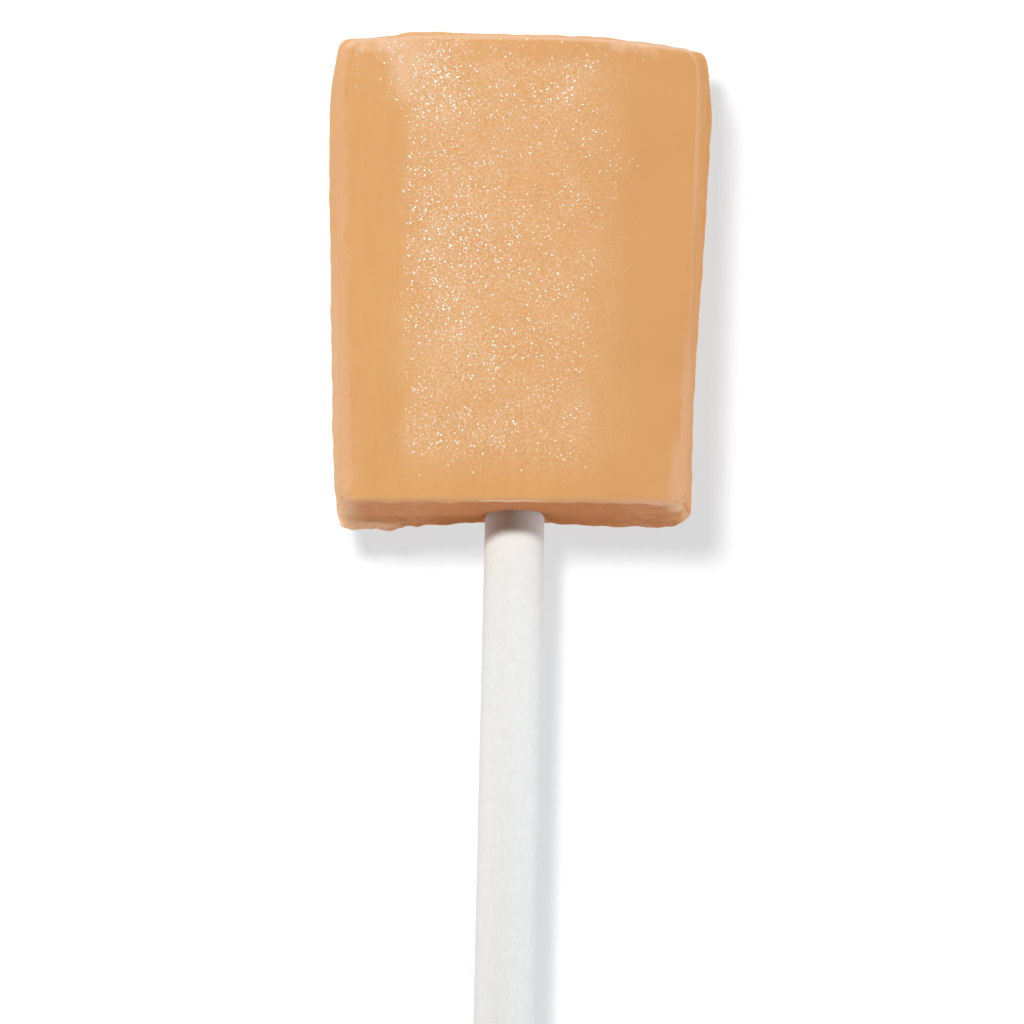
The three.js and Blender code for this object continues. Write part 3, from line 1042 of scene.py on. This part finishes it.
def band_sheen(nodes, colour):
    """A band of painted sheen down the front face, paler and grainy, with darker and paler specks painted as
    its grain.
    """
    x, y = nodes.x, nodes.y
    wobbling = nodes.math("ADD", x, nodes.math("MULTIPLY_ADD", nodes.noise(2.2, 3), 3.0, -1.5))
    across = nodes.product(nodes.ramp(wobbling, -10.2, -7.2), nodes.ramp(wobbling, 10, 4.5))
    top_gap = nodes.math("MAXIMUM", nodes.ramp(x, -3, -4.8), nodes.ramp(y, 17.2, 15.8, 0.3, 1))
    band = nodes.product(across, nodes.ramp(x, -6, 5, 1, 0.65), nodes.ramp(y, -17.9, -13.2), top_gap)
    band = nodes.product(band, nodes.ramp(nodes.z, 13.5, 13.9))
    # painted sheen in patches and spots
    patches = nodes.product(band, nodes.ramp(nodes.noise(2.6, 3), 0.3, 0.7, 0.22, 0.5))
    colour = nodes.mix(with_spots(nodes, patches, SHEEN_SPOTS, "ADD"), colour, tone("band_sheen"))
    # darker and paler specks, painted as the sheen's grain
    fine = nodes.noise(0.22, 3, roughness=0.75)
    colour = nodes.mix(nodes.product(band, nodes.ramp(fine, 0.5, 0.34), 0.8), colour, tone("sheen_dark_specks"))
    return nodes.mix(nodes.product(band, nodes.ramp(fine, 0.53, 0.68), 0.7), colour, tone("sheen_pale_specks"))


def butterscotch():
    """Opaque butterscotch candy."""
    nodes = Material("butterscotch")
    wall = bottom_wall(nodes)
    at_rim = nodes.ramp(nodes.z, 12.3, 13.3)
    colour = walls_with_painted_sheen(nodes, plain_body(nodes))
    colour = drawn_wall(nodes, colour, wall)
    colour = bottom_corners(nodes, colour, wall)
    colour = lip_highlight(nodes, colour)
    colour = side_edges(nodes, colour, at_rim)
    colour = upper_edges(nodes, colour, at_rim)
    nodes.set("Base Color", band_sheen(nodes, colour))
    matt = nodes.ramp(nodes.upward, 0.9996, 0.99)
    nodes.set("Roughness", nodes.ramp(matt, 0, 1, 0.35, 0.6))
    nodes.set("Specular IOR Level", nodes.ramp(matt, 0, 1, 0.12, 0))
    nodes.set("Subsurface Weight", 0.12)
    nodes.set("Subsurface Radius", (1.0, 0.55, 0.3))
    nodes.set("Subsurface Scale", 1.2 * MM)
    nodes.set("IOR", 1.5)
    fine = nodes.product(nodes.noise(0.25, 2), 0.35)
    coarse = nodes.product(nodes.noise(1.1, 2), 0.65)
    nodes.bump(nodes.math("ADD", fine, coarse), 0.008)
    return nodes.material


def grain_material(name):
    """A slightly glossy grain, its pale colour a painted glint."""
    nodes = Material(name)
    nodes.set("Base Color", tone(name))
    nodes.set("Roughness", 0.2)
    nodes.set("Specular IOR Level", 1.0)
    return nodes.material


def rolled_paper():
    """White rolled paper with faint fibres along it."""
    nodes = Material("rolled_paper")
    fibres = nodes.ramp(nodes.noise(0.25, 3, (1, 3, 1)), 0.3, 0.75)
    spots = nodes.ramp(nodes.noise(0.9, 3), 0.35, 0.7)
    colour = nodes.mix(fibres, tone("paper"), tone("paper_fibres"))
    colour = nodes.mix(nodes.product(spots, 0.35), colour, tone("paper_spots"))
    nodes.set("Base Color", colour)
    nodes.set("Roughness", 0.8)
    nodes.set("IOR", 1.45)
    fine = nodes.product(nodes.noise(0.2, 2, (1, 2.5, 1)), 0.5)
    coarse = nodes.product(nodes.noise(0.5, 2), 0.5)
    nodes.bump(nodes.math("ADD", fine, coarse), 0.02)
    return nodes.material


def floor_material():
    """A matt white table, softly lit from within."""
    nodes = Material("studio_floor")
    nodes.set("Base Color", (0.15, 0.15, 0.15, 1))
    nodes.set("Roughness", 1.0)
    nodes.set("Specular IOR Level", 0.0)
    nodes.set("Emission Color", (0.985, 1, 1.01, 1))
    nodes.set("Emission Strength", FLOOR_GLOW)
    return nodes.material


# Studio

SKY_STRENGTH = 1.1
FLOOR_HALF = 1500
FLOOR_GLOW = 0.66


def camera():
    """The camera, placed so that the held point falls on its pixel."""
    towards = Vector((0, -math.cos(ELEVATION), math.sin(ELEVATION)))
    level = Vector((1, 0, 0))
    upright = Vector((0, math.sin(ELEVATION), math.cos(ELEVATION)))
    c, s = math.cos(ROLL), math.sin(ROLL)
    right = level * c + upright * s
    up = upright * c - level * s
    off_x = (PICTURE / 2 - HELD_PIXEL[0]) / PIXELS_PER_MM
    off_y = (HELD_PIXEL[1] - PICTURE / 2) / PIXELS_PER_MM
    aim = HELD_POINT + right * off_x + up * off_y
    data = bpy.data.cameras.new("camera")
    data.sensor_width = SENSOR
    data.lens = SENSOR * DISTANCE / (PICTURE / PIXELS_PER_MM)
    data.clip_start = 0.01
    view = bpy.data.objects.new("camera", data)
    turn = Matrix((right, up, towards)).transposed().to_4x4()
    view.matrix_world = Matrix.Translation((aim + towards * DISTANCE) * MM) @ turn
    bpy.context.scene.collection.objects.link(view)
    bpy.context.scene.camera = view


def area_light(name, direction, distance, size, power, lit, colour=(1, 1, 1)):
    """A soft light that faces the candy from a direction and lights the given objects."""
    data = bpy.data.lights.new(name, "AREA")
    data.shape = "RECTANGLE"
    data.size = size[0] * MM
    data.size_y = size[1] * MM
    data.energy = power
    data.color = colour
    light = bpy.data.objects.new(name, data)
    away = Vector(direction).normalized()
    light.location = away * distance * MM
    light.rotation_euler = away.to_track_quat("Z", "Y").to_euler()
    light.visible_camera = False
    bpy.context.scene.collection.objects.link(light)
    receivers = bpy.data.collections.new(name)
    for piece in lit:
        receivers.objects.link(piece)
    light.light_linking.receiver_collection = receivers


def sky():
    """A soft white surround, bright round the horizon and dim above, where the key light does the work."""
    world = bpy.data.worlds.new("studio")
    bpy.context.scene.world = world
    world.use_nodes = True
    nodes = Nodes(world)
    place = nodes.add("ShaderNodeTexCoord").outputs["Generated"]
    x, y, z = nodes.split(place)
    ring = nodes.product(nodes.ramp(z, -0.3, 0.1, 0.5, 1), nodes.ramp(z, 0.12, 0.7, 1, 0.05))
    ends = nodes.product(nodes.ramp(y, -0.9, 0.4, 0.25, 1), nodes.ramp(y, 0.2, 0.9, 1, 0.7))
    sides = nodes.product(nodes.ramp(x, -0.3, -1, 1, 0.9), nodes.ramp(x, 0.3, 1, 1, 1.4))
    background = world.node_tree.nodes["Background"]
    background.inputs["Color"].default_value = (1, 1, 1, 1)
    nodes.link(nodes.product(ring, ends, sides, SKY_STRENGTH), background.inputs["Strength"])


def floor():
    """A large white floor that gives the candy and the stick no reflection."""
    points = [(x * FLOOR_HALF, y * FLOOR_HALF, 0) for x, y in ((-1, -1), (1, -1), (1, 1), (-1, 1))]
    piece = mesh_object("floor", points, [(0, 1, 2, 3)], floor_material())
    piece.visible_glossy = False
    return piece


def studio(candy_pieces, stick_pieces):
    """The floor, the sky, the camera, and lights that each have their own work, as in a studio with flags."""
    bpy.context.scene.view_settings.view_transform = "Standard"
    table = floor()
    sky()
    area_light("floor_light", (-0.21, 0.19, 1), 800, (140, 140), 16.7, [table])
    area_light("candy_key", (-0.25, 0.41, 1), 800, (120, 120), 4.0, candy_pieces)
    area_light("candy_front", (0.1, -0.72, 1), 800, (240, 100), 1.9, candy_pieces)
    area_light("candy_left", (-1, 0.1, 0.35), 600, (150, 100), 0.35, candy_pieces)
    area_light("candy_right", (1, 0.1, 0.4), 600, (150, 100), 0.45, candy_pieces)
    area_light("stick_key", (-0.2, 0.36, 1), 340, (43, 43), 1.05, stick_pieces, (0.975, 1, 1))
    area_light("stick_side", (1, -0.15, 0.3), 600, (150, 100), 0.6, stick_pieces, (0.78, 1, 1.15))
    camera()


# The lollipop

block = candy(butterscotch())
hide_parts("candy")
grain_materials = {
    "bright_grains": grain_material("bright_glint_grain"),
    "fine_grains": grain_material("fine_glint_grain"),
}
candy_pieces = [block] + sparkles(block, grain_materials)
for piece in candy_pieces:
    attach(piece, "root")

paper_stick = stick(rolled_paper())
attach(paper_stick, "root")
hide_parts("stick")

studio(candy_pieces, [paper_stick])
